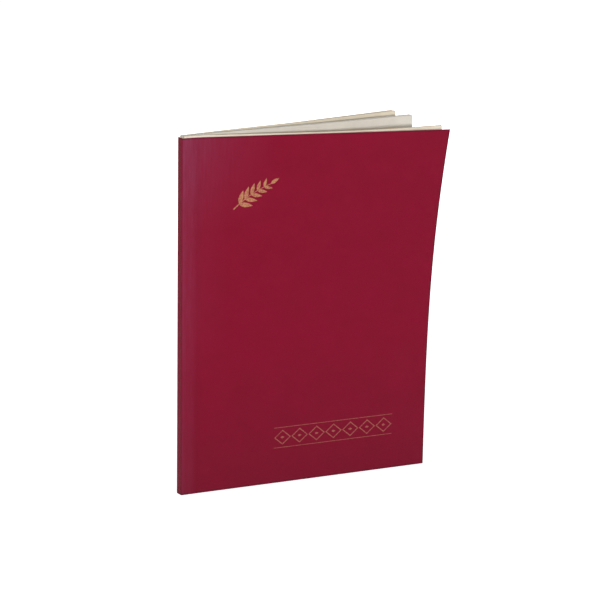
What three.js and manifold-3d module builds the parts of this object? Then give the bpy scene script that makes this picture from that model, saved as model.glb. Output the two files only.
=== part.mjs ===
import * as THREE from 'three';
import { mergeVertices } from 'three/addons/utils/BufferGeometryUtils.js';
import Module from 'manifold-3d';

const wasm = await Module();
wasm.setup();

// A thin ledger book with a flexible cover, standing on its tail and slightly fanned open.
// Millimetres. The origin is at the foot of the spine, in the middle of the spine board.
// +X runs from the spine to the fore edge of the closed book, +Y to the back cover, +Z to the head.

// Trimmed size: covers and leaves are cut flush on three sides
const bookWidth = 210;
const bookHeight = 280;

// Writing leaves: folded sheets, nested and sewn as sections
const sheetsPerSection = 5;
const paperThickness = 0.09;
const leafAir = 0.01;
const sectionGap = 0.08;
const sectionFanDeg = 0.3;

// Endpapers: a folded sheet at each end, one half pasted to the cover
const endpaperThickness = 0.12;
const endpaperFoldGap = 0.14;

// Flexible cover: card with book cloth pasted on, wrapped round the spine
const boardThickness = 0.45;
const clothThickness = 0.18;
const pasteThickness = 0.02;
const spineCornerRadius = 0.9;
const spineCornerGap = 0.1;
const hingeStripWidth = 11;
const creaseGap = 0.24;

// Sewing: one thread a section, in at a kettle hole and out again round each back stitch
const threadDiameter = 0.2;
const threadClearance = 0.04;
const kettleInset = 15;
const backStitchLength = 14;
const backStitches = 2;
const kettleTail = 3;

// What holds the backs of the sections together
const glueThickness = 0.2;
const mullThickness = 0.15;
const mullInset = 10;

// The standing pose, in degrees away from the closed book
const frontLeavesOpenDeg = 7.5;
const backLeavesOpenDeg = 5.3;
const coverOpenDeg = 0.6;

// The front cover curls outwards towards its head. The front leaves set out with it and lag behind
// towards the fore edge, where they have lost the lag's share of its turn.
const coverFlareDeg = 9.8;
const flarePower = 3.1;
const leafLag = 1.2;
const leafLagPower = 2;

// How finely curves are cut into flats
const foldSteps = 6;
const cornerSteps = 3;
const flareRows = 10;
const flareColumns = 6;
const threadSides = 6;
const bendSteps = 3;

// Sizes that follow from those above
const leafPitch = paperThickness + leafAir;
const foldRoom = threadDiameter / 2 + threadClearance;
const sectionRadius = foldRoom + sheetsPerSection * leafPitch - leafAir;
const sectionPitch = 2 * sectionRadius + sectionGap;
const sectionCentres = [-1.5, -0.5, 0.5, 1.5].map((place) => place * sectionPitch);
const blockHalf = sectionCentres[3] + sectionRadius;
const clothInner = clothThickness;
const boardOuter = clothInner + pasteThickness;
const boardInner = boardOuter + boardThickness;
const pastedownOuter = boardInner + pasteThickness;
const pastedownInner = pastedownOuter + endpaperThickness;
const flyleafOuter = pastedownInner + endpaperFoldGap;
const halfThickness = blockHalf + pasteThickness + endpaperThickness + flyleafOuter;
const outerX = -boardOuter - boardThickness / 2;
const creaseX = outerX + hingeStripWidth;
const foreEdgeX = outerX + bookWidth;
const mullX = outerX + boardInner + pasteThickness;
const glueX = mullX + mullThickness + pasteThickness;
const foldBackX = glueX + glueThickness + threadDiameter + 2 * threadClearance;
const foldX = foldBackX + sectionRadius;
const leafLength = foreEdgeX - foldX;

// Colours and finishes
function finish(color, roughness) {
  return new THREE.MeshStandardMaterial({ color, roughness, metalness: 0 });
}
const clothFinish = finish(0x84172f, 0.62);
const boardFinish = finish(0xcbb79b, 0.9);
const writingPaperFinish = finish(0xf1eadb, 0.85);
const endpaperFinish = finish(0xe9dfcc, 0.85);
const threadFinish = finish(0xe6e0d0, 0.8);
const mullFinish = finish(0xd8cfb8, 0.95);
const glueFinish = finish(0xe2cf9a, 0.5);

// Hinged groups: each holds its pieces about its own vertical axis, which is given for the closed book
function hingedGroup(parent, axis, openDeg) {
  const group = new THREE.Group();
  const from = parent.userData.axis;
  group.userData.axis = axis;
  group.position.set(axis.x - from.x, axis.y - from.y, 0);
  group.rotation.z = THREE.MathUtils.degToRad(openDeg);
  parent.add(group);
  return group;
}

function addPiece(group, name, geometry, material) {
  const axis = group.userData.axis;
  geometry.translate(-axis.x, -axis.y, 0);
  const mesh = new THREE.Mesh(geometry, material);
  mesh.name = name;
  group.add(mesh);
}

// Plan outlines
function arcPoints(centre, radius, fromDeg, toDeg, steps) {
  const points = [];
  for (let step = 0; step <= steps; step += 1) {
    const angle = THREE.MathUtils.degToRad(fromDeg + ((toDeg - fromDeg) * step) / steps);
    const x = centre.x + radius * Math.cos(angle);
    points.push(new THREE.Vector2(x, centre.y + radius * Math.sin(angle)));
  }
  return points;
}

function linePoints(from, to, steps) {
  const points = [];
  for (let step = 0; step <= steps; step += 1) {
    points.push(new THREE.Vector2().lerpVectors(from, to, step / steps));
  }
  return points;
}

function mirrored(points, side) {
  return points.map((point) => new THREE.Vector2(point.x, point.y * side));
}

// Solids: a straight prism on an outline, and a loft through rings. Each ring runs out along one wall
// and back along the other, with the same number of points on both, so a cap is a strip between them.
function prism(outline) {
  const shape = new THREE.Shape(outline);
  return new THREE.ExtrudeGeometry(shape, { depth: bookHeight, bevelEnabled: false });
}

function signedVolume(positions, triangles) {
  const corner = [new THREE.Vector3(), new THREE.Vector3(), new THREE.Vector3()];
  let volume = 0;
  for (let first = 0; first < triangles.length; first += 3) {
    corner.forEach((point, index) => point.fromArray(positions, 3 * triangles[first + index]));
    volume += corner[0].dot(corner[1].cross(corner[2])) / 6;
  }
  return volume;
}

function loft(rings) {
  const count = rings[0].length;
  const positions = rings.flat().flatMap((point) => [point.x, point.y, point.z]);
  const triangles = [];
  for (let ring = 0; ring + 1 < rings.length; ring += 1) {
    for (let place = 0; place < count; place += 1) {
      const next = (place + 1) % count;
      const [a, b] = [ring * count + place, ring * count + next];
      const [c, d] = [b + count, a + count];
      // Neighbouring walls bend alike, because each cut runs from its greater x up to its smaller x
      const cut = rings[ring][place].x > rings[ring][next].x ? [a, b, c, a, c, d] : [a, b, d, b, c, d];
      triangles.push(...cut);
    }
  }
  const last = (rings.length - 1) * count;
  for (let place = 0; place + 1 < count / 2; place += 1) {
    const [a, b, c, d] = [place, place + 1, count - 2 - place, count - 1 - place];
    triangles.push(a, c, b, a, d, c);
    triangles.push(last + a, last + b, last + c, last + a, last + c, last + d);
  }
  if (signedVolume(positions, triangles) < 0) {
    triangles.reverse();
  }
  const geometry = new THREE.BufferGeometry();
  geometry.setAttribute('position', new THREE.Float32BufferAttribute(positions, 3));
  return geometry.setIndex(triangles);
}

function planLoft(outlineAt, rows) {
  const rings = [];
  for (let row = 0; row <= rows; row += 1) {
    const z = (bookHeight * row) / rows;
    rings.push(outlineAt(z).map((point) => new THREE.Vector3(point.x, point.y, z)));
  }
  return loft(rings);
}

function toManifold(geometry) {
  const bare = geometry.clone();
  bare.deleteAttribute('normal');
  bare.deleteAttribute('uv');
  const welded = mergeVertices(bare, 1e-5);
  const mesh = new wasm.Mesh({
    numProp: 3,
    vertProperties: new Float32Array(welded.attributes.position.array),
    triVerts: new Uint32Array(welded.index.array),
  });
  return new wasm.Manifold(mesh);
}

function cutBy(geometry, cutters) {
  let solid = toManifold(geometry);
  for (const cutter of cutters) {
    solid = solid.subtract(toManifold(cutter));
  }
  const mesh = solid.getMesh();
  const result = new THREE.BufferGeometry();
  result.setAttribute('position', new THREE.Float32BufferAttribute(mesh.vertProperties, 3));
  return result.setIndex(Array.from(mesh.triVerts));
}

// How far the flare has turned the front cover at a height, and a front leaf at a share of its width
function coverTurnDeg(z) {
  return coverFlareDeg * (z / bookHeight) ** flarePower;
}

function leafTurnDeg(z, share) {
  return coverTurnDeg(z) * (1 - leafLag * share ** leafLagPower);
}

// A folded sheet in plan. Each of its two legs leaves the fold at an angle. A leg with turnDegAt is
// straight as far as the crease, and turns on by that from there to its end. Angles are in degrees.
function foldedOutline(centre, inner, thickness, legs) {
  const alongAt = (deg) => {
    const angle = THREE.MathUtils.degToRad(deg);
    return new THREE.Vector2(Math.cos(angle), Math.sin(angle));
  };
  const legAt = ({ deg, turnDegAt, length }, reach) => {
    const along = alongAt(deg);
    const start = new THREE.Vector2(-along.y, along.x).multiplyScalar(reach).add(centre);
    if (!turnDegAt) {
      return [start, start.clone().addScaledVector(along, length)];
    }
    const straight = creaseX - centre.x;
    const step = (length - straight) / flareColumns;
    const points = [start, start.clone().addScaledVector(along, straight)];
    for (let column = 0; column < flareColumns; column += 1) {
      const turned = alongAt(deg + turnDegAt((column + 0.5) / flareColumns));
      points.push(points.at(-1).clone().addScaledVector(turned, step));
    }
    return points;
  };
  const wallAt = (radius) => {
    const fold = arcPoints(centre, radius, 270 + legs[0].deg, 90 + legs[1].deg, foldSteps);
    return [
      ...legAt(legs[0], -radius).slice(1).reverse(),
      ...fold,
      ...legAt(legs[1], radius).slice(1),
    ];
  };
  return [...wallAt(inner + thickness), ...wallAt(inner).reverse()];
}

// Heights of the sewing holes, from the tail up
function sewingHoles() {
  const heights = [kettleInset];
  for (let stitch = 1; stitch <= backStitches; stitch += 1) {
    const middle = kettleInset + ((bookHeight - 2 * kettleInset) * stitch) / (backStitches + 1);
    heights.push(middle - backStitchLength / 2, middle + backStitchLength / 2);
  }
  heights.push(bookHeight - kettleInset);
  return heights;
}

function holeCutters(centreY) {
  const width = threadDiameter + 2 * threadClearance;
  const depth = sectionRadius;
  return sewingHoles().map((height) => {
    const cutter = new THREE.BoxGeometry(depth, width, width);
    return cutter.translate(foldX - depth / 2 - threadClearance, centreY, height);
  });
}

// One section: its folded sheets, from the outermost in, and the thread that holds them
function sheet(centreY, index, baseDeg, flared) {
  const leaves = 2 * sheetsPerSection;
  const centre = new THREE.Vector2(foldX, centreY);
  const inner = foldRoom + (sheetsPerSection - 1 - index) * leafPitch;
  const legAt = (leaf, z) => {
    const deg = baseDeg + sectionFanDeg * (leaf / (leaves - 1) - 0.5);
    return { deg, turnDegAt: flared && ((share) => -leafTurnDeg(z, share)), length: leafLength };
  };
  const outlineAt = (z) => {
    const legs = [legAt(index, z), legAt(leaves - 1 - index, z)];
    return foldedOutline(centre, inner, paperThickness, legs);
  };
  const folded = planLoft(outlineAt, flared ? flareRows : 1);
  return cutBy(folded, holeCutters(centreY));
}

function threadPath() {
  const insideX = foldX;
  const outsideX = foldBackX - threadClearance - threadDiameter / 2;
  const path = [new THREE.Vector2(outsideX, kettleInset - kettleTail)];
  let outside = true;
  for (const height of sewingHoles()) {
    path.push(new THREE.Vector2(outside ? outsideX : insideX, height));
    path.push(new THREE.Vector2(outside ? insideX : outsideX, height));
    outside = !outside;
  }
  path.push(new THREE.Vector2(outsideX, bookHeight - kettleInset + kettleTail));
  return path;
}

function roundedCorners(path, radius) {
  const points = [path[0]];
  for (let index = 1; index + 1 < path.length; index += 1) {
    const [before, corner, after] = path.slice(index - 1, index + 2);
    const into = corner.clone().sub(before).normalize().multiplyScalar(-radius).add(corner);
    const out = after.clone().sub(corner).normalize().multiplyScalar(radius).add(corner);
    const bend = new THREE.QuadraticBezierCurve(into, corner, out);
    points.push(...bend.getPoints(bendSteps));
  }
  return [...points, path.at(-1)];
}

function thread(centreY) {
  const path = roundedCorners(threadPath(), threadDiameter);
  const rings = path.map((point, index) => {
    const before = path[Math.max(index - 1, 0)];
    const after = path[Math.min(index + 1, path.length - 1)];
    const along = after.clone().sub(before).normalize();
    const ring = [];
    for (let side = 0; side < threadSides; side += 1) {
      const angle = (2 * Math.PI * side) / threadSides;
      const across = (threadDiameter / 2) * Math.cos(angle);
      const y = centreY + (threadDiameter / 2) * Math.sin(angle);
      ring.push(new THREE.Vector3(point.x + along.y * across, y, point.y - along.x * across));
    }
    return ring;
  });
  return loft(rings);
}

function addSection(group, number, baseDeg, flared) {
  const centreY = sectionCentres[number - 1];
  for (let index = 0; index < sheetsPerSection; index += 1) {
    const name = `section_${number}_sheet_${index + 1}`;
    addPiece(group, name, sheet(centreY, index, baseDeg, flared), writingPaperFinish);
  }
  addPiece(group, `section_${number}_thread`, thread(centreY), threadFinish);
}

// The endpaper's fold, its free flyleaf and the strip of it that is pasted under the hinge strip.
// side is -1 at the front cover and 1 at the back cover.
function endpaper(side, flared) {
  const inner = endpaperFoldGap / 2;
  const centre = new THREE.Vector2(foldX, side * (halfThickness - pastedownInner - inner));
  const pasted = { deg: 0, length: creaseX - creaseGap / 2 - foldX };
  const outlineAt = (z) => {
    const deg = (side * sectionFanDeg) / 2;
    const turnDegAt = flared && ((share) => side * leafTurnDeg(z, share));
    const free = { deg, turnDegAt, length: leafLength };
    return foldedOutline(centre, inner, endpaperThickness, side < 0 ? [pasted, free] : [free, pasted]);
  };
  return planLoft(outlineAt, flared ? flareRows : 1);
}

// Cover layers lie between two depths, counted inwards from the outer face of the cloth
const cornerGapDeg = THREE.MathUtils.radToDeg(spineCornerGap / 2 / spineCornerRadius);

function spineLayer(outer, inner) {
  const reach = halfThickness - spineCornerRadius;
  const front = new THREE.Vector2(outerX + spineCornerRadius, -reach);
  const back = new THREE.Vector2(outerX + spineCornerRadius, reach);
  const wallAt = (depth) => [
    ...arcPoints(front, spineCornerRadius - depth, 225 - cornerGapDeg, 180, cornerSteps),
    ...arcPoints(back, spineCornerRadius - depth, 180, 135 + cornerGapDeg, cornerSteps),
  ];
  return prism([...wallAt(outer), ...wallAt(inner).reverse()]);
}

function hingeStripLayer(side, outer, inner) {
  const centre = new THREE.Vector2(outerX + spineCornerRadius, halfThickness - spineCornerRadius);
  const wallAt = (depth) => [
    ...arcPoints(centre, spineCornerRadius - depth, 135 - cornerGapDeg, 90, cornerSteps),
    new THREE.Vector2(creaseX - creaseGap / 2, halfThickness - depth),
  ];
  return prism(mirrored([...wallAt(outer), ...wallAt(inner).reverse()], side));
}

function panelLayer(side, outer, inner, flared) {
  const near = creaseGap / 2;
  const far = foreEdgeX - creaseX;
  const columns = flared ? flareColumns : 1;
  const outlineAt = (z) => {
    const angle = THREE.MathUtils.degToRad(flared ? coverTurnDeg(z) : 0);
    const along = new THREE.Vector2(Math.cos(angle), Math.sin(angle));
    const inward = new THREE.Vector2(along.y, -along.x);
    const crease = new THREE.Vector2(creaseX, halfThickness);
    const cornerAt = (reach, depth) => (
      crease.clone().addScaledVector(along, reach).addScaledVector(inward, depth)
    );
    const outerWall = linePoints(cornerAt(near, outer), cornerAt(far, outer), columns);
    const innerWall = linePoints(cornerAt(far, inner), cornerAt(near, inner), columns);
    return mirrored([...outerWall, ...innerWall], side);
  };
  return planLoft(outlineAt, flared ? flareRows : 1);
}

// A flat strip on the backs of the sections
function backStrip(x, thickness, inset) {
  const geometry = new THREE.BoxGeometry(thickness, 2 * blockHalf, bookHeight - 2 * inset);
  return geometry.translate(x + thickness / 2, 0, bookHeight / 2);
}

// Hinge axes of the closed book: the spine's outer corners and the two creases
function spineCorner(side) {
  const back = spineCornerRadius * (1 - Math.SQRT1_2);
  return new THREE.Vector2(outerX + back, side * (halfThickness - back));
}

function crease(side) {
  return new THREE.Vector2(creaseX, side * halfThickness);
}

function addHingeStrip(group, side, word) {
  addPiece(group, `${word}_hinge_cloth`, hingeStripLayer(side, 0, clothInner), clothFinish);
  addPiece(group, `${word}_hinge_board`, hingeStripLayer(side, boardOuter, boardInner), boardFinish);
}

function addPanel(group, side, word, flared) {
  const cloth = panelLayer(side, 0, clothInner, flared);
  const board = panelLayer(side, boardOuter, boardInner, flared);
  const pastedown = panelLayer(side, pastedownOuter, pastedownInner, flared);
  addPiece(group, `${word}_cover_cloth`, cloth, clothFinish);
  addPiece(group, `${word}_cover_board`, board, boardFinish);
  addPiece(group, `${word}_pastedown`, pastedown, endpaperFinish);
}

// The spine with the two middle sections, which stays put
const book = new THREE.Group();
book.userData.axis = new THREE.Vector2(0, 0);
addPiece(book, 'spine_cloth', spineLayer(0, clothInner), clothFinish);
addPiece(book, 'spine_board', spineLayer(boardOuter, boardInner), boardFinish);
addPiece(book, 'spine_mull', backStrip(mullX, mullThickness, mullInset), mullFinish);
addPiece(book, 'spine_glue', backStrip(glueX, glueThickness, 0), glueFinish);
addSection(book, 2, -sectionFanDeg / 2, false);
addSection(book, 3, sectionFanDeg / 2, false);

// The first section with its endpaper and hinge strip turns at the front corner of the spine
const frontLeaves = hingedGroup(book, spineCorner(-1), -frontLeavesOpenDeg);
addSection(frontLeaves, 1, 0, true);
addPiece(frontLeaves, 'front_endpaper', endpaper(-1, true), endpaperFinish);
addHingeStrip(frontLeaves, -1, 'front');

// The front cover turns at its crease
const frontCover = hingedGroup(frontLeaves, crease(-1), -coverOpenDeg);
addPanel(frontCover, -1, 'front', true);

// The last section and the back cover, in the same way
const backLeaves = hingedGroup(book, spineCorner(1), backLeavesOpenDeg);
addSection(backLeaves, 4, 0, false);
addPiece(backLeaves, 'back_endpaper', endpaper(1, false), endpaperFinish);
addHingeStrip(backLeaves, 1, 'back');

const backCover = hingedGroup(backLeaves, crease(1), coverOpenDeg);
addPanel(backCover, 1, 'back', false);

export default book;
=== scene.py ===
import math
import random

import bpy
from mathutils import Matrix, Vector


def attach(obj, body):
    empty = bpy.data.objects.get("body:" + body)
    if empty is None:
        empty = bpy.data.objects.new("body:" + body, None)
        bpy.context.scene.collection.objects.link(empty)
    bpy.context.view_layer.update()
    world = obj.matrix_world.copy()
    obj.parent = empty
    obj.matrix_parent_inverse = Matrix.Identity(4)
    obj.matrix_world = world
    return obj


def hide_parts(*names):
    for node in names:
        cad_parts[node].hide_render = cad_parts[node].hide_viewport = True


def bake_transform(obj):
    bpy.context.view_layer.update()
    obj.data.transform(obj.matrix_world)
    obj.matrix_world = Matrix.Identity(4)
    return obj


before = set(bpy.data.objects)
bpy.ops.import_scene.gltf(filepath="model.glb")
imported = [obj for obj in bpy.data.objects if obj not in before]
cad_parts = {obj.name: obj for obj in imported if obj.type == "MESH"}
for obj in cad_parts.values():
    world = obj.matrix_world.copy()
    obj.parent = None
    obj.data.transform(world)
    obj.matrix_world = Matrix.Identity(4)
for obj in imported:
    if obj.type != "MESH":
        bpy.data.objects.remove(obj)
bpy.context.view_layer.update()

random.seed(7)

# Lengths are in millimetres, as in the part. MM turns them into the frame's metres.
MM = 0.001

# A side is -1 at the front of the book and 1 at its back
SIDES = ((-1, "front"), (1, "back"))

# The book, as in the part
BOOK_WIDTH = 210.0
BOOK_HEIGHT = 280.0
SHEETS_PER_SECTION = 5
PAPER = 0.09
LEAF_AIR = 0.01
SECTION_GAP = 0.08
SECTION_FAN_DEG = 0.3
ENDPAPER = 0.12
ENDPAPER_FOLD_GAP = 0.14
BOARD = 0.45
CLOTH = 0.18
PASTE = 0.02
CORNER_RADIUS = 0.9
HINGE_STRIP_WIDTH = 11.0
THREAD = 0.2
THREAD_CLEARANCE = 0.04
GLUE = 0.2
MULL = 0.15
FRONT_LEAVES_OPEN_DEG = 7.5
BACK_LEAVES_OPEN_DEG = 5.3
COVER_OPEN_DEG = 0.6
COVER_FLARE_DEG = 9.8
FLARE_POWER = 3.1
LEAF_LAG = 1.2
LEAF_LAG_POWER = 2

# Sizes that follow, as in the part
LEAF_PITCH = PAPER + LEAF_AIR
FOLD_ROOM = THREAD / 2 + THREAD_CLEARANCE
SECTION_RADIUS = FOLD_ROOM + SHEETS_PER_SECTION * LEAF_PITCH - LEAF_AIR
SECTION_PITCH = 2 * SECTION_RADIUS + SECTION_GAP
SECTION_CENTRES = [place * SECTION_PITCH for place in (-1.5, -0.5, 0.5, 1.5)]
BOARD_OUTER = CLOTH + PASTE
BOARD_INNER = BOARD_OUTER + BOARD
LINING_OUTER = BOARD_INNER + PASTE
LINING_INNER = LINING_OUTER + ENDPAPER
HALF_THICKNESS = (SECTION_CENTRES[3] + SECTION_RADIUS + PASTE + ENDPAPER
                  + LINING_INNER + ENDPAPER_FOLD_GAP)
OUTER_X = -BOARD_OUTER - BOARD / 2
CREASE_X = OUTER_X + HINGE_STRIP_WIDTH
FORE_EDGE_X = OUTER_X + BOOK_WIDTH
FOLD_X = (OUTER_X + BOARD_INNER + PASTE + MULL + PASTE + GLUE
          + THREAD + 2 * THREAD_CLEARANCE + SECTION_RADIUS)
LEAF_LENGTH = FORE_EDGE_X - FOLD_X

# Places along the cover's outer face, from the middle of the spine
SPINE_FLAT = HALF_THICKNESS - CORNER_RADIUS
CORNER_LENGTH = CORNER_RADIUS * math.pi / 2
MID_CORNER = SPINE_FLAT + CORNER_LENGTH / 2
CORNER_END = SPINE_FLAT + CORNER_LENGTH
CREASE_AT = CORNER_END + CREASE_X - OUTER_X - CORNER_RADIUS
SEAM_AT = CORNER_END + (CREASE_AT - CORNER_END) / 2
FORE_EDGE_AT = CREASE_AT + FORE_EDGE_X - CREASE_X

# What only the looks have: soft folds, a slight warp of the cover that runs in waves across it and up it,
# leaves that fan out by uneven steps, and leaves that stand a little above the cover at the spine's head
CORNER_BEND = 0.6
CREASE_BEND = 1.4
LEAF_BEND = 6.0
CLOTH_BEVEL = 0.05
WARP_DEG = 0.12
WARP_ACROSS = 150
WARP_UP = 340
WARP_SHIFT = 0.2
FAN_STEP_RANGE = (0.4, 1.6)
HEAD_RISE = 1.3
HEAD_RISE_SHARE = 0.8
FLYLEAF_STRIP = 2.0

# How finely the surfaces are divided
SPINE_COLUMNS = 5
CORNER_COLUMNS = 12
STRIP_COLUMNS = 3
STRIP_END_COLUMNS = 2
CREASE_COLUMNS = 8
PANEL_COLUMNS = 48
COVER_ROWS = 56
FOLD_STEPS = 8
LEAF_STRIP_COLUMNS = 2
LEAF_BEND_COLUMNS = 4
LEAF_COLUMNS = 18
LEAF_ROWS = 36
SHARP_DEG = 35

# Colours as seen on a screen. A pair has the darker colour first.
CLOTH_COLOURS = ((136, 9, 42), (142, 10, 46))
CLOTH_SPECK = (146, 36, 60)
# A painted sheen: this pale colour, mixed into the cloth, stands in for light that the cloth reflects
CLOTH_SHEEN = (203, 190, 252)
# The cloth's colour where it is darker towards the tail
CLOTH_TAIL_DARK = (104, 28, 46)
CLOTH_DARKENED = (84, 18, 42)
CARD_COLOURS = ((188, 146, 124), (214, 178, 152))
PALE_PAPER_COLOURS = ((222, 217, 208), (232, 228, 219))
PALE_EDGE_COLOURS = ((176, 170, 160), (196, 192, 178))
WARM_PAPER_COLOURS = ((222, 202, 172), (230, 212, 184))
WARM_EDGE_COLOURS = ((178, 150, 122), (198, 170, 138))
AGED_PAPER_COLOURS = ((230, 218, 196), (239, 228, 207))
AGED_EDGE_COLOURS = ((170, 160, 138), (192, 182, 156))
CREAM_PAPER_COLOURS = ((236, 225, 208), (241, 231, 215))
CREAM_EDGE_COLOURS = ((200, 184, 164), (216, 202, 182))
THREAD_COLOURS = ((206, 196, 172), (228, 220, 200))
MULL_COLOURS = ((196, 184, 154), (222, 212, 186))
GLUE_COLOURS = ((206, 182, 122), (224, 204, 150))
FEINT_BLUE = (120, 152, 190)
RULE_RED = (186, 84, 92)

# Foil has its gold first, then what is left where it is worn
FOIL_COLOURS = ((172, 122, 84), (136, 66, 62))
FADED_FOIL_COLOURS = ((152, 92, 76), (138, 48, 58))

# The cloth's weave, which runs from -1 in its hollows to 1 on its threads. Heights are in bump depths, and
# the hollows' colour starts and is full at two values of the weave.
WEAVE_PITCH = 0.62
WEAVE_WAVER = 0.9
WEAVE_HEIGHT = 0.8
GRAIN_HEIGHT = 1.3
HOLLOW_SHARE = 0.2
HOLLOW_WEAVE = (0.1, -0.9)

# The part of a noise over which clouds and streaks come up, and the part for specks
CLOUD_BAND = (0.3, 0.7)
SPECK_BAND = (0.42, 0.72)
SPECK_SHARE = 0.16

# Marks on the cloth. A share, a sheen or a highlight is how much of a mark's colour shows where it is full.
# A
#  pair says where a mark starts and where it is full: across from the middle of the spine, up from the tail,
#  or as a distance from its own line. The darkening in the groove is painted shade, and the sheen and
#  highlight are painted light.
# The cloth is darker towards the tail
TAIL_DARK_SHARE = 0.3
TAIL_DARK_UP = (115.0, -10.0)
# Painted shade: the cloth is darkened in the groove of the crease
GROOVE_AT = CREASE_AT + 1.5
GROOVE_SHADE_SHARE = 0.08
GROOVE_DISTANCE = (4.0, 0.5)
EDGE_SHARE = 0.6
EDGE_DISTANCE = (1.6, 0.2)
# Painted sheen in the hinge strip, beside it and at its head
STRIP_SHEEN = 0.012
STRIP_SHEEN_ACROSS = (CREASE_AT + 1.5, CREASE_AT - 3)
BESIDE_SHEEN = 0.010
BESIDE_SHEEN_ACROSS = (CORNER_END + 38, CORNER_END)
BESIDE_SHEEN_UP = (80.0, 150.0)
HEAD_SHEEN = 0.030
HEAD_SHEEN_ACROSS = (CORNER_END + 75, CORNER_END + 5)
HEAD_SHEEN_UP = (205.0, 285.0)
# A painted highlight along the spine's rounded corner
CORNER_HIGHLIGHT = 0.012
CORNER_HIGHLIGHT_DISTANCE = (2.4, 0.3)

# The painted sheen is streaky: a noise drawn out upwards makes it weaker or stronger
STREAK_STRETCH = (1.0, 0.07, 1.0)
STREAK_STRENGTHS = (0.65, 1.35)

# The account ruling of the leaves
HEAD_LINE = 252.0
HEAD_LINE_GAP = 1.1
HEAD_LINE_HALF_WIDTH = 0.14
FOOT_LINE = 14.0
FEINT_PITCH = 7.0
FEINT_HALF_WIDTH = 0.11
FEINT_BELOW_HEAD = 1.0
FEINT_SHARE = 0.55
COLUMN_LINES = (18.0, 32.0, 112.0, 142.0, 172.0, 200.0)
COLUMN_HALF_WIDTH = 0.12
COLUMN_ABOVE_HEAD = 1.2
RULE_SHARE = 0.6

# Foil blocking on the front cover. Its places are across from the spine's corner and up from the tail.
FOIL_PROUD = 0.03
FOIL_SUNK = 0.03
FOIL_STEP = 3.0
FOIL_MITRE_LIMIT = 0.3
FOIL_LEAF_STEPS = 8
FOIL_LEAF_FULLNESS = 0.8
FOIL_LEAF_TIP_HALF_WIDTH = 0.08
SPRIG_FROM = (40.0, 223.5)
SPRIG_TO = (69.0, 242.0)
SPRIG_BOW = 0.05
SPRIG_STEM_STEPS = 12
SPRIG_STEM_HALF_WIDTH = 0.45
SPRIG_STEM_TAPER = 0.02
SPRIG_PAIRS = 5
SPRIG_PAIR_STEPS = 2
SPRIG_SPREAD_DEG = 42.0
SPRIG_LEAF_LENGTH = 11.0
SPRIG_LEAF_WIDTH = 3.6
SPRIG_SHRINK = 0.09
SPRIG_TOP_LENGTH_SHARE = 0.7
SPRIG_TOP_WIDTH_SHARE = 0.8
BORDER_ACROSS = (77.0, 180.0)
BORDER_HEIGHT = 37.0
BORDER_RULE_AT = 8.2
BORDER_RULE_WIDTH = 0.45
BORDER_LOZENGES = 7
BORDER_LOZENGE_GAP = 1.6
BORDER_LOZENGE_HALF_HEIGHT = 5.6
BORDER_STROKE_WIDTH = 0.75
BORDER_DOT_LENGTH = 3.2
BORDER_DOT_WIDTH = 1.8

# The camera, found from the book's edges in the picture, which is 600 pixels wide
FOCAL_LENGTH_IN_FRAMES = 2387.3 / 600
SENSOR_WIDTH = 36.0
CAMERA_DISTANCE = 1807.9
CAMERA_ELEVATION_DEG = 14.638
CAMERA_TURN_DEG = 32.847
CAMERA_ROLL_DEG = 0.952
TARGET_ACROSS = 90.93
TARGET_HEIGHT = 156.70

# The studio. Its lengths are in metres.
CLIP_START = 0.05
CLIP_END = 100
FLOOR_HALF = 15.0
FLOOR_WHITE = 0.80
FLOOR_LIFT = 0.75
WORLD_LIGHT = 0.34
LAMP_AIM = (0.08, 0, 0.14)


# Plan geometry

def smoothstep(value):
    value = min(max(value, 0.0), 1.0)
    return value * value * (3 - 2 * value)


def spread(start, end, steps):
    return [start + (end - start) * step / steps for step in range(steps + 1)]


def direction(degrees):
    angle = math.radians(degrees)
    return Vector((math.cos(angle), math.sin(angle)))


def turned(point, pivot, degrees):
    angle = math.radians(degrees)
    away = point - pivot
    return pivot + Vector((away.x * math.cos(angle) - away.y * math.sin(angle),
                           away.x * math.sin(angle) + away.y * math.cos(angle)))


def cover_turn_deg(z):
    """How far the front cover's curl has turned it at a height."""
    return COVER_FLARE_DEG * (z / BOOK_HEIGHT) ** FLARE_POWER


def leaf_turn_deg(z, share):
    """The same for a front leaf at a share of its width: it lags behind towards the fore edge."""
    return cover_turn_deg(z) * (1 - LEAF_LAG * share ** LEAF_LAG_POWER)


def leaves_open(side):
    return FRONT_LEAVES_OPEN_DEG if side < 0 else BACK_LEAVES_OPEN_DEG


def spine_corner(side):
    back = CORNER_RADIUS * (1 - math.sqrt(0.5))
    return Vector((OUTER_X + back, side * (HALF_THICKNESS - back)))


def with_leaves(point, side):
    """A point of the closed book, after the leaves on that side have turned at the spine. Side 0 is the
    middle of the book, which stays put."""
    return turned(point, spine_corner(side), side * leaves_open(side)) if side else point


class Path:
    """A line in plan that starts at a point and is given by its heading, in degrees, along its length.
    It is drawn for the back of the book, where +y is outwards, and mirrored for the front."""

    def __init__(self, start, lengths, heading_at):
        self.lengths = lengths
        self.points = [Vector(start)]
        self.headings = [heading_at(lengths[0])]
        for before, after in zip(lengths, lengths[1:]):
            step = direction(heading_at((before + after) / 2)) * (after - before)
            self.points.append(self.points[-1] + step)
            self.headings.append(heading_at(after))

    def along(self, index):
        return direction(self.headings[index])

    def inside(self, index, depth):
        """The point at a depth to the right of the line."""
        along = self.along(index)
        return self.points[index] + Vector((along.y, -along.x)) * depth


# Meshes. Their UV map holds each point's place on its sheet, in spans of this many millimetres.
UV_SPAN = 100.0


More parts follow.
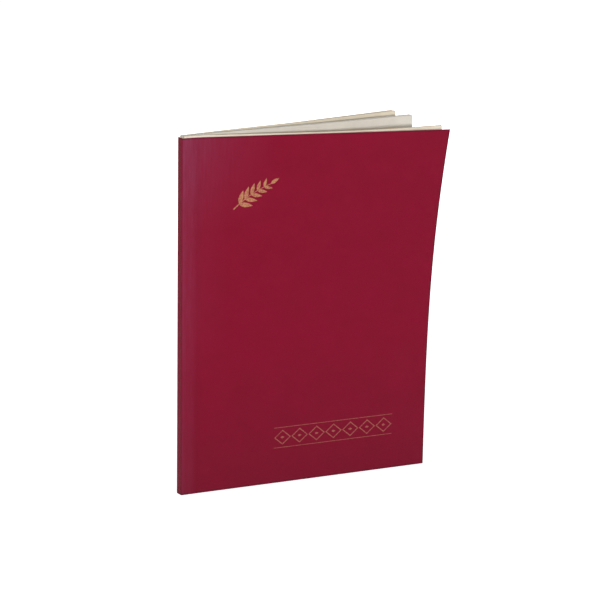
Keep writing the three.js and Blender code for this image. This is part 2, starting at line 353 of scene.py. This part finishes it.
def mesh_object(name, points, faces, places, materials, edge_from=None):
    """places gives each point its place on the sheet. The faces from edge_from on have the second
    material."""
    mesh = bpy.data.meshes.new(name)
    mesh.from_pydata([Vector(point) * MM for point in points], [], faces)
    layer = mesh.uv_layers.new(name="Sheet")
    for loop in mesh.loops:
        layer.data[loop.index].uv = [value / UV_SPAN for value in places[loop.vertex_index]]
    for material in materials:
        mesh.materials.append(material)
    if edge_from is not None:
        for face in mesh.polygons[edge_from:]:
            face.material_index = 1
    mesh.polygons.foreach_set("use_smooth", [True] * len(mesh.polygons))
    mesh.set_sharp_from_angle(angle=math.radians(SHARP_DEG))
    piece = bpy.data.objects.new(name, mesh)
    bpy.context.scene.collection.objects.link(piece)
    return piece


def facing_out(points, faces):
    """The faces of a closed sheet, turned round if they face inwards."""
    volume = 0
    for face in faces:
        a, b, c = (Vector(points[index]) for index in face[:3])
        volume += a.dot((b - a).cross(c - a))
    return faces if volume >= 0 else [tuple(reversed(face)) for face in faces]


def sheet_solid(name, outer, rims, inner, grid_places, materials):
    """A closed sheet: its outer and inner grids of points, and loops round its border between them.
    grid_places holds the place on the sheet of each grid point. A second material is for the cut edges."""
    rows, columns = len(outer), len(outer[0])
    size = rows * columns
    border = ([(0, c) for c in range(columns)] + [(r, columns - 1) for r in range(1, rows)]
              + [(rows - 1, c) for c in range(columns - 2, -1, -1)]
              + [(r, 0) for r in range(rows - 2, 0, -1)])
    points = [point for grid in (outer, inner) for row in grid for point in row]
    places = [place for row in grid_places for place in row] * 2
    faces = []
    for r in range(rows - 1):
        for c in range(columns - 1):
            a, b = r * columns + c, r * columns + c + 1
            d, e = a + columns, b + columns
            faces.append((a, b, e, d))
            faces.append((a + size, d + size, e + size, b + size))
    edge_from = len(faces) if len(materials) > 1 else None
    loops = [[r * columns + c for r, c in border]]
    for rim in rims:
        loops.append(list(range(len(points), len(points) + len(border))))
        points += [rim[r][c] for r, c in border]
        places += [grid_places[r][c] for r, c in border]
    loops.append([index + size for index in loops[0]])
    for upper, lower in zip(loops, loops[1:]):
        for k in range(len(border)):
            n = (k + 1) % len(border)
            faces.append((upper[k], lower[k], lower[n], upper[n]))
    return mesh_object(name, points, facing_out(points, faces), places, materials, edge_from)


# Shader nodes

def linear(red, green, blue):
    """A colour as seen on a screen, in the renderer's linear values."""
    def channel(value):
        value /= 255
        return value / 12.92 if value <= 0.04045 else ((value + 0.055) / 1.055) ** 2.4
    return (channel(red), channel(green), channel(blue), 1.0)


def new_material(name, roughness, metallic=0.0, specular=0.5):
    material = bpy.data.materials.new(name)
    material.use_nodes = True
    shader = material.node_tree.nodes["Principled BSDF"]
    shader.inputs["Roughness"].default_value = roughness
    shader.inputs["Metallic"].default_value = metallic
    shader.inputs["Specular IOR Level"].default_value = specular
    return material, material.node_tree, shader


def node(tree, kind, links=(), **settings):
    """A node with its inputs linked or set. links: (input, output socket or value)."""
    made = tree.nodes.new(kind)
    for key, value in settings.items():
        setattr(made, key, value)
    for key, source in links:
        if isinstance(source, bpy.types.NodeSocket):
            tree.links.new(source, made.inputs[key])
        else:
            made.inputs[key].default_value = source
    return made


def maths(tree, operation, first, second=0.0):
    return node(tree, "ShaderNodeMath", [(0, first), (1, second)], operation=operation).outputs[0]


def times(tree, first, second):
    return maths(tree, "MULTIPLY", first, second)


def plus(tree, first, second):
    return maths(tree, "ADD", first, second)


def minus(tree, first, second):
    return maths(tree, "SUBTRACT", first, second)


def apart(tree, first, second):
    return maths(tree, "ABSOLUTE", minus(tree, first, second))


def stretched(tree, place, factors):
    return node(tree, "ShaderNodeVectorMath", [(0, place), (1, factors)], operation="MULTIPLY").outputs[0]


def sheet_place(tree):
    """The place on the sheet in millimetres: x along it from the fold or spine, y up from the tail."""
    uv = node(tree, "ShaderNodeUVMap", uv_map="Sheet")
    return stretched(tree, uv.outputs[0], (UV_SPAN, UV_SPAN, UV_SPAN))


def along_and_up(tree, place):
    split = node(tree, "ShaderNodeSeparateXYZ", [(0, place)])
    return split.outputs[0], split.outputs[1]


def between(tree, value, low, high, to=(0.0, 1.0)):
    """A ramp from 0 where the value is low to 1 where it is high, or between the two numbers in to. It is
    level beyond both, and low may be above high."""
    return node(tree, "ShaderNodeMapRange", [("Value", value), ("From Min", low), ("From Max", high),
                ("To Min", to[0]), ("To Max", to[1])]).outputs[0]


def noise(tree, place, scale, detail=2.0, roughness=0.5):
    return node(tree, "ShaderNodeTexNoise", [("Vector", place), ("Scale", scale),
                ("Detail", detail), ("Roughness", roughness)]).outputs[0]


def mixed(tree, share, first, second):
    """The first colour with a share of the second. A colour is a socket, or as seen on a screen."""
    first, second = (colour if isinstance(colour, bpy.types.NodeSocket) else linear(*colour)
                     for colour in (first, second))
    links = [(0, share), (6, first), (7, second)]
    return node(tree, "ShaderNodeMix", links, data_type="RGBA").outputs[2]


def tinted(tree, colour, tint, share, value, low, high):
    """The colour with none of the tint where the value is low, and its full share where it is high."""
    return mixed(tree, times(tree, between(tree, value, low, high), share), colour, tint)


def finish_shader(tree, shader, colour, height, strength, depth):
    """Gives the shader its colour, and bumps of a strength and a depth in metres."""
    tree.links.new(colour, shader.inputs["Base Color"])
    bump = node(tree, "ShaderNodeBump", [("Strength", strength), ("Distance", depth), ("Height", height)])
    tree.links.new(bump.outputs[0], shader.inputs["Normal"])


# Finishes

def speckled_material(name, colours, scale, roughness, band=(0.35, 0.65), bite=0.6, strength=0.4,
                      depth=0.0001, specular=0.3, metallic=0.0):
    """Two colours mixed by a noise, which also raises the surface. The scale is about the number of specks
    in a metre, the band is where one colour goes over into the other, and the bite is the noise's own
    roughness."""
    material, tree, shader = new_material(name, roughness, metallic, specular)
    place = node(tree, "ShaderNodeTexCoord").outputs["Object"]
    specks = noise(tree, place, scale, detail=3.0, roughness=bite)
    colour = mixed(tree, between(tree, specks, *band), *colours)
    finish_shader(tree, shader, colour, specks, strength, depth)
    return material


def card_material():
    """Grey-cream cover card, seen on its cut edges."""
    return speckled_material("cover_card", CARD_COLOURS, 1800.0, 0.85, band=(0.35, 0.7), bite=0.7,
                             strength=0.3, depth=0.00005, specular=0.2)


def foil_material(name, colours):
    """Gold blocking foil, rubbed thin in places."""
    return speckled_material(name, colours, 900.0, 0.48, band=(0.42, 0.66), bite=0.7,
                             strength=0.25, depth=0.00005, metallic=0.6)


def edge_material(name, colours):
    """The cut edges of paper."""
    return speckled_material(name, colours, 900.0, 0.9)


def cloth_weave(tree, place, along, up):
    """A plain weave, as a value from -1 to 1."""
    waver = times(tree, noise(tree, place, 0.35), WEAVE_WAVER)
    warp, weft = (maths(tree, "SINE", times(tree, plus(tree, value, waver), 2 * math.pi / WEAVE_PITCH))
                  for value in (along, up))
    return times(tree, warp, weft)


def cloth_sheen(tree, place, along, up):
    """How much painted sheen shows: in the hinge strip, beside it and at its head, with a painted highlight
    on the spine's corner, in streaks. The flat of the spine has none."""
    strip = times(tree, between(tree, along, *STRIP_SHEEN_ACROSS), STRIP_SHEEN)
    beside = times(tree, between(tree, along, *BESIDE_SHEEN_ACROSS), BESIDE_SHEEN)
    beside = times(tree, beside, between(tree, up, *BESIDE_SHEEN_UP))
    head = times(tree, between(tree, along, *HEAD_SHEEN_ACROSS), HEAD_SHEEN)
    head = times(tree, head, between(tree, up, *HEAD_SHEEN_UP))
    from_corner = apart(tree, along, CORNER_END)
    corner = times(tree, between(tree, from_corner, *CORNER_HIGHLIGHT_DISTANCE), CORNER_HIGHLIGHT)
    sheen = plus(tree, plus(tree, strip, beside), plus(tree, head, corner))
    sheen = times(tree, sheen, between(tree, along, SPINE_FLAT, CORNER_END))
    streaks = noise(tree, stretched(tree, place, STREAK_STRETCH), 0.55, detail=3.0, roughness=0.6)
    return times(tree, sheen, between(tree, streaks, *CLOUD_BAND, to=STREAK_STRENGTHS))


def cloth_material():
    """Coated book cloth: a fine plain weave that shows through the coating, a little mottled. The coating
    lies deeper between the threads. The cloth is darker towards the tail, has painted shade in the groove of
    the crease and a painted sheen near the spine and the head, and is dark at the cut edges."""
    material, tree, shader = new_material("book_cloth", roughness=0.5, specular=0.08)
    place = sheet_place(tree)
    along, up = along_and_up(tree, place)
    weave = cloth_weave(tree, place, along, up)
    grain = noise(tree, place, 1.6, detail=3.0, roughness=0.6)
    clouds = noise(tree, place, 0.045, detail=4.0, roughness=0.62)
    specks = noise(tree, place, 0.8, detail=2.0, roughness=0.7)
    from_groove = apart(tree, along, GROOVE_AT)
    from_edges = maths(tree, "MINIMUM", minus(tree, FORE_EDGE_AT, along), up)
    from_edges = maths(tree, "MINIMUM", from_edges, minus(tree, BOOK_HEIGHT, up))
    colour = mixed(tree, between(tree, clouds, *CLOUD_BAND), *CLOTH_COLOURS)
    colour = tinted(tree, colour, CLOTH_SPECK, SPECK_SHARE, specks, *SPECK_BAND)
    colour = tinted(tree, colour, CLOTH_DARKENED, HOLLOW_SHARE, weave, *HOLLOW_WEAVE)
    colour = tinted(tree, colour, CLOTH_TAIL_DARK, TAIL_DARK_SHARE, up, *TAIL_DARK_UP)
    colour = tinted(tree, colour, CLOTH_DARKENED, GROOVE_SHADE_SHARE, from_groove, *GROOVE_DISTANCE)
    # The painted sheen, and the painted highlight on the spine's corner
    colour = mixed(tree, cloth_sheen(tree, place, along, up), colour, CLOTH_SHEEN)
    colour = tinted(tree, colour, CLOTH_DARKENED, EDGE_SHARE, from_edges, *EDGE_DISTANCE)
    height = plus(tree, times(tree, weave, WEAVE_HEIGHT), times(tree, grain, GRAIN_HEIGHT))
    finish_shader(tree, shader, colour, height, strength=0.6, depth=0.00015)
    return material


def ruled(tree, colour, place):
    """The colour of paper, ruled for accounts: feint lines across, a double head line and money columns."""
    along, up = along_and_up(tree, place)
    from_fold = maths(tree, "ABSOLUTE", along)

    def line_at(value, at, half_width):
        return maths(tree, "LESS_THAN", apart(tree, value, at), half_width)

    from_feint = maths(tree, "PINGPONG", minus(tree, up, HEAD_LINE), FEINT_PITCH / 2)
    feint = maths(tree, "LESS_THAN", from_feint, FEINT_HALF_WIDTH)
    feint = times(tree, feint, maths(tree, "LESS_THAN", up, HEAD_LINE - FEINT_BELOW_HEAD))
    feint = times(tree, feint, maths(tree, "GREATER_THAN", up, FOOT_LINE))
    colour = mixed(tree, times(tree, feint, FEINT_SHARE), colour, FEINT_BLUE)
    lines = plus(tree, line_at(up, HEAD_LINE, HEAD_LINE_HALF_WIDTH),
                 line_at(up, HEAD_LINE + HEAD_LINE_GAP, HEAD_LINE_HALF_WIDTH))
    below_top = maths(tree, "LESS_THAN", up, HEAD_LINE + COLUMN_ABOVE_HEAD)
    for column in COLUMN_LINES:
        lines = plus(tree, lines, times(tree, line_at(from_fold, column, COLUMN_HALF_WIDTH), below_top))
    return mixed(tree, times(tree, maths(tree, "MINIMUM", lines, 1.0), RULE_SHARE), colour, RULE_RED)


def paper_material(name, colours, has_ruling):
    """Matt paper with faint clouds and fibres."""
    material, tree, shader = new_material(name, roughness=0.88, specular=0.2)
    place = sheet_place(tree)
    clouds = noise(tree, place, 0.06, detail=3.0, roughness=0.55)
    fibres = noise(tree, place, 3.0, detail=2.0, roughness=0.6)
    colour = mixed(tree, between(tree, clouds, *CLOUD_BAND), *colours)
    if has_ruling:
        colour = ruled(tree, colour, place)
    finish_shader(tree, shader, colour, fibres, strength=0.12, depth=0.00006)
    return material


def paper_and_edge(name, colours, edge_colours, has_ruling=True):
    return [paper_material(name, colours, has_ruling), edge_material(f"{name}_edge", edge_colours)]


cloth = cloth_material()
card = card_material()
pale_paper = paper_and_edge("ledger_paper", PALE_PAPER_COLOURS, PALE_EDGE_COLOURS)
warm_paper = paper_and_edge("ledger_paper_warm", WARM_PAPER_COLOURS, WARM_EDGE_COLOURS)
aged_paper = paper_and_edge("ledger_paper_aged", AGED_PAPER_COLOURS, AGED_EDGE_COLOURS)
cream_paper = paper_and_edge("endpaper", CREAM_PAPER_COLOURS, CREAM_EDGE_COLOURS, has_ruling=False)
foil = foil_material("gold_foil", FOIL_COLOURS)
faded_foil = foil_material("gold_foil_faded", FADED_FOIL_COLOURS)
small_piece_finishes = {
    "thread": speckled_material("sewing_thread", THREAD_COLOURS, 2500.0, 0.8),
    "mull": speckled_material("mull", MULL_COLOURS, 1800.0, 0.95),
    "glue": speckled_material("spine_glue", GLUE_COLOURS, 400.0, 0.45),
}


# The cover

COVER_LENGTHS = (spread(0.0, SPINE_FLAT, SPINE_COLUMNS)
                 + spread(SPINE_FLAT, CORNER_END, CORNER_COLUMNS)[1:]
                 + spread(CORNER_END, SEAM_AT, STRIP_COLUMNS)[1:]
                 + spread(SEAM_AT, CREASE_AT - CREASE_BEND, STRIP_END_COLUMNS)[1:]
                 + spread(CREASE_AT - CREASE_BEND, CREASE_AT + CREASE_BEND, CREASE_COLUMNS)[1:]
                 + spread(CREASE_AT + CREASE_BEND, FORE_EDGE_AT, PANEL_COLUMNS)[1:])
SEAM_INDEX = SPINE_COLUMNS + CORNER_COLUMNS + STRIP_COLUMNS
FORE_EDGE_INDEX = len(COVER_LENGTHS) - 1
HEIGHTS = spread(0.0, BOOK_HEIGHT, COVER_ROWS)


def cover_path(side, z):
    """The outer face of the cover in plan at a height, from the middle of the spine to the fore edge."""
    crease_turn_deg = COVER_OPEN_DEG + (cover_turn_deg(z) if side < 0 else 0.0)

    def heading(length):
        corner = min(max((length - SPINE_FLAT) / CORNER_LENGTH, 0.0), 1.0)
        at_corner = smoothstep((length - MID_CORNER) / (2 * CORNER_BEND) + 0.5)
        at_crease = smoothstep((length - CREASE_AT) / (2 * CREASE_BEND) + 0.5)
        wave = length / WARP_ACROSS + z / WARP_UP + WARP_SHIFT * side
        warp = WARP_DEG * at_crease * math.sin(2 * math.pi * wave)
        return 90 - 90 * corner + leaves_open(side) * at_corner + crease_turn_deg * at_crease + warp

    return Path((OUTER_X, 0.0), COVER_LENGTHS, heading)


COVER_PATHS = {side: [cover_path(side, z) for z in HEIGHTS] for side, _ in SIDES}


def cover_layer(name, side, span, depths, materials, bevel=0.0):
    """A layer of the cover from one column to another and between two depths from its outer face. A bevel
    rounds that face off at the head, the tail and the fore edge."""
    columns = range(span[0], span[1] + 1)
    outer_depth, inner_depth = depths

    def grid(depth, inset):
        rows = []
        for row, path in enumerate(COVER_PATHS[side]):
            z = HEIGHTS[row] + (inset if row == 0 else -inset if row == COVER_ROWS else 0.0)
            line = []
            for column in columns:
                point = path.inside(column, depth)
                if column == FORE_EDGE_INDEX:
                    point = point - path.along(column) * inset
                line.append((point.x, side * point.y, z))
            rows.append(line)
        return rows

    places = [[(COVER_LENGTHS[column], z) for column in columns] for z in HEIGHTS]
    rims = [grid(outer_depth + bevel, 0.0)] if bevel else []
    return sheet_solid(name, grid(outer_depth, bevel), rims, grid(inner_depth, 0.0), places, materials)


def fold_blend(piece):
    """Bakes the piece's place into its mesh."""
    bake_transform(piece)


def corner_blend(piece):
    fold_blend(piece)


def crease_blend(piece):
    fold_blend(piece)


def add_cover(side, word):
    """Half of the cover. Its cloth and its card go round the spine's corner as far as a seam in the hinge
    strip, and on from there across the crease to the fore edge. The lining starts just before the seam."""
    round_spine = (0, SEAM_INDEX)
    over_crease = (SEAM_INDEX, FORE_EDGE_INDEX)
    lined = (SEAM_INDEX - 1, FORE_EDGE_INDEX)
    cloth_depths = (0, CLOTH)
    card_depths = (BOARD_OUTER, BOARD_INNER)
    lining_depths = (LINING_OUTER, LINING_INNER)

    wrap = cover_layer(f"{word}_spine_wrap", side, round_spine, cloth_depths, [cloth],
                       CLOTH_BEVEL)
    corner_blend(wrap)
    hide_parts("spine_cloth", f"{word}_hinge_cloth")

    core = cover_layer(f"{word}_spine_core", side, round_spine, card_depths, [card])
    corner_blend(core)
    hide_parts("spine_board", f"{word}_hinge_board")

    panel = cover_layer(f"{word}_cover_skin", side, over_crease, cloth_depths, [cloth],
                        CLOTH_BEVEL)
    crease_blend(panel)
    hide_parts(f"{word}_cover_cloth")

    board = cover_layer(f"{word}_cover_core", side, over_crease, card_depths, [card])
    crease_blend(board)
    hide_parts(f"{word}_cover_board")

    lining = cover_layer(f"{word}_cover_lining", side, lined, lining_depths, cream_paper)
    crease_blend(lining)
    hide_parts(f"{word}_pastedown")


# Foil blocking

def on_front_cover(across, height, depth):
    """The place on the front cover at a distance across it from the spine's corner and a height."""
    length = CORNER_END + across
    column = max(i for i in range(FORE_EDGE_INDEX) if COVER_LENGTHS[i] <= length)
    part = (length - COVER_LENGTHS[column]) / (COVER_LENGTHS[column + 1] - COVER_LENGTHS[column])
    row = min(int(height / BOOK_HEIGHT * COVER_ROWS), COVER_ROWS - 1)
    rise = (height - HEIGHTS[row]) / (HEIGHTS[row + 1] - HEIGHTS[row])
    below, above = (path.inside(column, depth).lerp(path.inside(column + 1, depth), part)
                    for path in COVER_PATHS[-1][row:row + 2])
    point = below.lerp(above, rise)
    return (point.x, -point.y, height)


def foil_ribbon(line, half_widths, closed, points, faces, places):
    """Adds a ribbon of foil along a line of (across, height) places to the lists of a mesh."""
    count = len(line)
    first = len(points)
    for i, place in enumerate(line):
        before = line[(i - 1) % count] if closed or i else place
        after = line[(i + 1) % count] if closed or i + 1 < count else place
        into = (place - before).normalized() if place != before else (after - place).normalized()
        out = (after - place).normalized() if after != place else into
        along = (into + out).normalized()
        normal = Vector((-along.y, along.x)) / max(along.dot(out), FOIL_MITRE_LIMIT)
        for sign in (1, -1):
            edge = place + normal * sign * half_widths[i]
            for depth in (-FOIL_PROUD, FOIL_SUNK):
                points.append(on_front_cover(edge.x, edge.y, depth))
                places.append((edge.x, edge.y))
    for i in range(count if closed else count - 1):
        a, b = first + 4 * i, first + 4 * ((i + 1) % count)
        for p, q in ((0, 1), (1, 3), (3, 2), (2, 0)):
            faces.append((a + q, b + q, b + p, a + p))
    if not closed:
        last = first + 4 * (count - 1)
        faces.append((first, first + 1, first + 3, first + 2))
        faces.append((last + 2, last + 3, last + 1, last))


def foil_piece(name, ribbons, finish):
    points, faces, places = [], [], []
    for line, half_widths, closed in ribbons:
        foil_ribbon(line, half_widths, closed, points, faces, places)
    piece = mesh_object(name, points, faces, places, [finish])
    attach(piece, "front_cover")


def stroke(corners, width, closed=False):
    """A line of even width through corners, cut short enough to follow the cover's curl."""
    corners = [Vector(corner) for corner in corners]
    line = []
    for start, end in zip(corners, corners[1:] + (corners[:1] if closed else [])):
        steps = max(1, round((end - start).length / FOIL_STEP))
        line += [start.lerp(end, step / steps) for step in range(steps)]
    if not closed:
        line.append(corners[-1])
    return line, [width / 2] * len(line), closed


def pointed_leaf(base, direction_deg, length, width):
    """A leaf shape, pointed at both ends."""
    along = direction(direction_deg)
    shares = spread(0.0, 1.0, FOIL_LEAF_STEPS)
    line = [Vector(base) + along * length * share for share in shares]
    half_widths = [max(width / 2 * math.sin(math.pi * share ** FOIL_LEAF_FULLNESS), FOIL_LEAF_TIP_HALF_WIDTH)
                   for share in shares]
    return line, half_widths, False


def sprig():
    """A small sprig of leaves that leans up towards the head."""
    start, end = Vector(SPRIG_FROM), Vector(SPRIG_TO)
    run = end - start
    lean_deg = math.degrees(math.atan2(run.y, run.x))
    sideways = Vector((-run.y, run.x)) * SPRIG_BOW
    stem = [start + run * share + sideways * math.sin(math.pi * share)
            for share in spread(0.0, 1.0, SPRIG_STEM_STEPS)]
    half_widths = [SPRIG_STEM_HALF_WIDTH - SPRIG_STEM_TAPER * i for i in range(len(stem))]
    ribbons = [(stem, half_widths, False)]
    for pair in range(SPRIG_PAIRS):
        base = stem[SPRIG_PAIR_STEPS * (pair + 1)]
        size = 1 - SPRIG_SHRINK * pair
        for sign in (1, -1):
            ribbons.append(pointed_leaf(base, lean_deg + sign * SPRIG_SPREAD_DEG,
                                        SPRIG_LEAF_LENGTH * size, SPRIG_LEAF_WIDTH * size))
    ribbons.append(pointed_leaf(stem[-1], lean_deg, SPRIG_LEAF_LENGTH * SPRIG_TOP_LENGTH_SHARE,
                                SPRIG_LEAF_WIDTH * SPRIG_TOP_WIDTH_SHARE))
    return ribbons


def lozenge(x, y, half_width, half_height):
    return [(x - half_width, y), (x, y + half_height), (x + half_width, y), (x, y - half_height)]


def border():
    """A row of linked lozenges with a dot in each, between two thin rules."""
    left, right = BORDER_ACROSS
    ribbons = []
    for y in (BORDER_HEIGHT + BORDER_RULE_AT, BORDER_HEIGHT - BORDER_RULE_AT):
        ribbons.append(stroke([(left, y), (right, y)], BORDER_RULE_WIDTH))
    pitch = (right - left) / BORDER_LOZENGES
    half_width = (pitch - BORDER_LOZENGE_GAP) / 2
    for place in range(BORDER_LOZENGES):
        middle = left + pitch * (place + 0.5)
        corners = lozenge(middle, BORDER_HEIGHT, half_width, BORDER_LOZENGE_HALF_HEIGHT)
        ribbons.append(stroke(corners, BORDER_STROKE_WIDTH, closed=True))
        dot_from = (middle - BORDER_DOT_LENGTH / 2, BORDER_HEIGHT)
        ribbons.append(pointed_leaf(dot_from, 0, BORDER_DOT_LENGTH, BORDER_DOT_WIDTH))
    return ribbons


# Leaves

def leg_path(radius, lean_deg, curl, length, z):
    """Half of a folded sheet in plan, from the back of its fold outwards, and the length of its fold. +y
    is away from the fold's middle. With a curl of 1 the leaf turns that way from the crease on, and with
    -1 it turns back."""
    arc = radius * math.radians(90 - lean_deg)
    bend_from = arc + CREASE_X - FOLD_X
    bend_to = bend_from + LEAF_BEND
    end = arc + length
    lengths = spread(0.0, arc, FOLD_STEPS)
    if length < LEAF_LENGTH:
        lengths += [end]
    else:
        lengths += (spread(arc, bend_from, LEAF_STRIP_COLUMNS)[1:]
                    + spread(bend_from, bend_to, LEAF_BEND_COLUMNS)[1:]
                    + spread(bend_to, end, LEAF_COLUMNS)[1:])

    def heading(at):
        fold = 90 - (90 - lean_deg) * min(at / arc, 1.0)
        if not curl:
            return fold
        share = min(max((at - bend_from) / (end - bend_from), 0.0), 1.0)
        return fold + curl * leaf_turn_deg(z, share) * smoothstep((at - bend_from) / LEAF_BEND)

    return Path((FOLD_X - radius, 0.0), lengths, heading), arc


def head_rise(across):
    """How far the leaves stand above the cover at the head, at a distance from the fold."""
    return HEAD_RISE * (1 - smoothstep(across / LEAF_LENGTH / HEAD_RISE_SHARE))


def folded_sheet(name, side, centre_y, inner, thickness, legs, materials):
    """A sheet folded round (FOLD_X, centre_y), with an inner radius, that has turned with the leaves of a
    side. Its legs, at -y and at +y, each have a lean away from the fold's middle, a curl and a length."""
    outer, inside, places = [], [], []
    for z in spread(0.0, BOOK_HEIGHT, LEAF_ROWS):
        halves = []
        for sign, (lean_deg, curl, length) in zip((-1, 1), legs):
            path, arc = leg_path(inner + thickness, lean_deg, curl, length, z)
            half = []
            for index, at in enumerate(path.lengths):
                top = z + head_rise(at - arc) * z / BOOK_HEIGHT
                pair = []
                for depth in (0.0, thickness):
                    point = path.inside(index, depth)
                    plan = with_leaves(Vector((point.x, centre_y + sign * point.y)), side)
                    pair.append((plan.x, plan.y, top))
                half.append((*pair, (sign * max(at - arc, 0.0), z)))
            halves.append(half)
        line = list(reversed(halves[0])) + halves[1][1:]
        for grid, row in zip((outer, inside, places), zip(*line)):
            grid.append(row)
    return sheet_solid(name, outer, [], inside, places, materials)


def leaf_leans():
    """The leaves of a section fan out by uneven steps that add up to the section's fan."""
    leaves = 2 * SHEETS_PER_SECTION
    steps = [0.0] + [random.uniform(*FAN_STEP_RANGE) for _ in range(leaves - 1)]
    return [SECTION_FAN_DEG * (sum(steps[:leaf + 1]) / sum(steps) - 0.5) for leaf in range(leaves)]


def add_section(number, body, side, base_deg, curl, materials):
    """A section whose leaves lean towards the back by base_deg and their own share of its fan."""
    leans = leaf_leans()
    for index in range(SHEETS_PER_SECTION):
        inner = FOLD_ROOM + (SHEETS_PER_SECTION - 1 - index) * LEAF_PITCH
        legs = ((-base_deg - leans[index], curl, LEAF_LENGTH),
                (base_deg + leans[-1 - index], -curl, LEAF_LENGTH))
        piece = folded_sheet(f"section_{number}_leaf_{index + 1}", side, SECTION_CENTRES[number - 1], inner,
                             PAPER, legs, materials)
        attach(piece, body)
        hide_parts(f"section_{number}_sheet_{index + 1}")


def add_flyleaf(side, word):
    """An endpaper's free leaf, which leans and curls with the cover, its fold, and the start of the half
    that is pasted down."""
    inner = ENDPAPER_FOLD_GAP / 2
    centre_y = side * (HALF_THICKNESS - LINING_INNER - inner)
    pasted = (0.0, 0, FLYLEAF_STRIP)
    free = (-SECTION_FAN_DEG / 2, -1 if side < 0 else 0, LEAF_LENGTH)
    legs = (pasted, free) if side < 0 else (free, pasted)
    flyleaf = folded_sheet(f"{word}_flyleaf", side, centre_y, inner, ENDPAPER, legs, cream_paper)
    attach(flyleaf, f"{word}_leaves")
    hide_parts(f"{word}_endpaper")


# The camera, the floor and the light

def add_camera():
    """A camera that looks near the book's middle, turned about the spine and rolled a little."""
    turn = Matrix.Rotation(math.radians(-CAMERA_TURN_DEG), 3, "Z")
    elevation = math.radians(CAMERA_ELEVATION_DEG)
    roll = math.radians(CAMERA_ROLL_DEG)
    forward = Vector((0, math.cos(elevation), -math.sin(elevation)))
    level = Vector((1, 0, 0))
    upright = level.cross(forward)
    right = level * math.cos(roll) + upright * math.sin(roll)
    up = upright * math.cos(roll) - level * math.sin(roll)
    position = Vector((TARGET_ACROSS, 0, TARGET_HEIGHT)) - forward * CAMERA_DISTANCE
    axes = Matrix((turn @ right, turn @ up, turn @ -forward)).transposed().to_4x4()
    camera = bpy.data.objects.new("camera", bpy.data.cameras.new("camera"))
    camera.matrix_world = Matrix.Translation(turn @ position * MM) @ axes
    camera.data.sensor_width = SENSOR_WIDTH
    camera.data.lens = SENSOR_WIDTH * FOCAL_LENGTH_IN_FRAMES
    camera.data.clip_start = CLIP_START
    camera.data.clip_end = CLIP_END
    bpy.context.scene.collection.objects.link(camera)
    bpy.context.scene.camera = camera


def seen_directly(tree):
    """1 for a ray from the camera, or a mirror-like or see-through one."""
    rays = node(tree, "ShaderNodeLightPath").outputs
    direct = maths(tree, "MAXIMUM", rays["Is Camera Ray"], rays["Is Glossy Ray"])
    return maths(tree, "MAXIMUM", direct, rays["Is Transmission Ray"])


def add_floor():
    """A white floor, a little lifted where it is seen."""
    corners = [(x * FLOOR_HALF, y * FLOOR_HALF, 0) for x, y in ((-1, -1), (1, -1), (1, 1), (-1, 1))]
    mesh = bpy.data.meshes.new("floor")
    mesh.from_pydata(corners, [], [(0, 1, 2, 3)])
    floor = bpy.data.objects.new("floor", mesh)
    bpy.context.scene.collection.objects.link(floor)
    material, tree, shader = new_material("floor", roughness=0.9, specular=0.1)
    shader.inputs["Base Color"].default_value = (FLOOR_WHITE, FLOOR_WHITE, FLOOR_WHITE, 1)
    shader.inputs["Emission Color"].default_value = (1, 1, 1, 1)
    tree.links.new(times(tree, seen_directly(tree), FLOOR_LIFT), shader.inputs["Emission Strength"])
    mesh.materials.append(material)


def add_world():
    """A world that is white where it is seen, and lights the book less than that."""
    world = bpy.data.worlds.new("world")
    bpy.context.scene.world = world
    world.use_nodes = True
    tree = world.node_tree
    background = tree.nodes["Background"]
    background.inputs["Color"].default_value = (1, 1, 1, 1)
    tree.links.new(maths(tree, "MAXIMUM", seen_directly(tree), WORLD_LIGHT), background.inputs["Strength"])


def add_softbox(name, azimuth_deg, elevation_deg, distance, size, power):
    """A square lamp that faces the book. The azimuth is counted from the camera, + to its right, and the
    distance and the size are in metres."""
    azimuth = math.radians(azimuth_deg - CAMERA_TURN_DEG)
    elevation = math.radians(elevation_deg)
    away = Vector((math.sin(azimuth) * math.cos(elevation), -math.cos(azimuth) * math.cos(elevation),
                   math.sin(elevation)))
    lamp = bpy.data.lights.new(name, "AREA")
    lamp.shape = "SQUARE"
    lamp.size = size
    lamp.energy = power
    holder = bpy.data.objects.new(name, lamp)
    holder.location = Vector(LAMP_AIM) + away * distance
    holder.rotation_euler = away.to_track_quat("Z", "Y").to_euler()
    bpy.context.scene.collection.objects.link(holder)


# The book in its studio

for side, word in SIDES:
    add_cover(side, word)
foil_piece("foil_sprig", sprig(), foil)
foil_piece("foil_border", border(), faded_foil)
add_section(1, "front_leaves", -1, 0.0, 1, warm_paper)
add_section(2, "spine", 0, -SECTION_FAN_DEG / 2, 0, pale_paper)
add_section(3, "spine", 0, SECTION_FAN_DEG / 2, 0, pale_paper)
add_section(4, "back_leaves", 1, 0.0, 0, aged_paper)
for side, word in SIDES:
    add_flyleaf(side, word)

# The small pieces at the spine are the part's own
for name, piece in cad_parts.items():
    for kind, finish in small_piece_finishes.items():
        if kind in name:
            piece.data.materials.clear()
            piece.data.materials.append(finish)

add_camera()
add_floor()
add_world()
add_softbox("key", azimuth_deg=14, elevation_deg=12.4, distance=2.2, size=0.12, power=26)
add_softbox("fill", azimuth_deg=183, elevation_deg=18, distance=2.6, size=1.0, power=36)
bpy.context.scene.view_settings.view_transform = "Standard"
